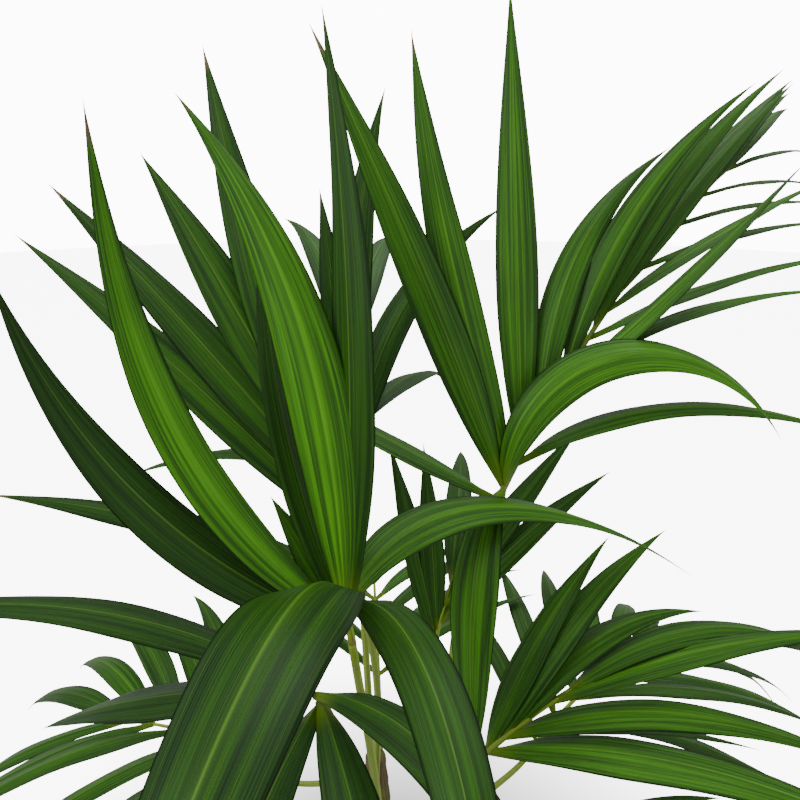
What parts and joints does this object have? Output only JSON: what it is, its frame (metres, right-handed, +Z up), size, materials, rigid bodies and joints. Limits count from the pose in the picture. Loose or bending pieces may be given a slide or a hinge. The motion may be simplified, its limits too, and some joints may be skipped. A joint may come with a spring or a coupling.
{
  "type": "potted kentia palm",
  "caption": "Potted kentia palm: a plain round pot of soil, short sheathed stems, slender leaf stalks and arching feathered fronds of long pointed leaflets.",
  "frame": {"origin": "centre of the pot's flat underside", "axes": "+Z up along the pot's axis, +X to the right and +Y away, seen from the side that the picture shows"},
  "size_m": [1.1648, 1.1619, 1.2422],
  "materials": {
    "pot_clay": "matte",
    "soil": "matte",
    "stem_sheath": "matte",
    "stalk_green": "satin",
    "leaf_green": "satin"
  },
  "bodies": {
    "root": {"frond_back": "leaf_green", "frond_front": "leaf_green", "frond_inner": "leaf_green", "frond_left_back": "leaf_green", "frond_low_left": "leaf_green", "frond_old_back": "leaf_green", "frond_old_front_left": "leaf_green", "frond_old_front_right": "leaf_green", "frond_old_left": "leaf_green", "frond_old_right": "leaf_green", "frond_right": "leaf_green", "frond_upright": "leaf_green", "pot": "pot_clay", "soil": "soil", "stalk_back": "stalk_green", "stalk_front": "stalk_green", "stalk_inner": "stalk_green", "stalk_left_back": "stalk_green", "stalk_low_left": "stalk_green", "stalk_old_back": "stalk_green", "stalk_old_front_left": "stalk_green", "stalk_old_front_right": "stalk_green", "stalk_old_left": "stalk_green", "stalk_old_right": "stalk_green", "stalk_right": "stalk_green", "stalk_upright": "stalk_green", "stem_1": "stem_sheath", "stem_2": "stem_sheath", "stem_3": "stem_sheath"}
  },
  "joints": []
}
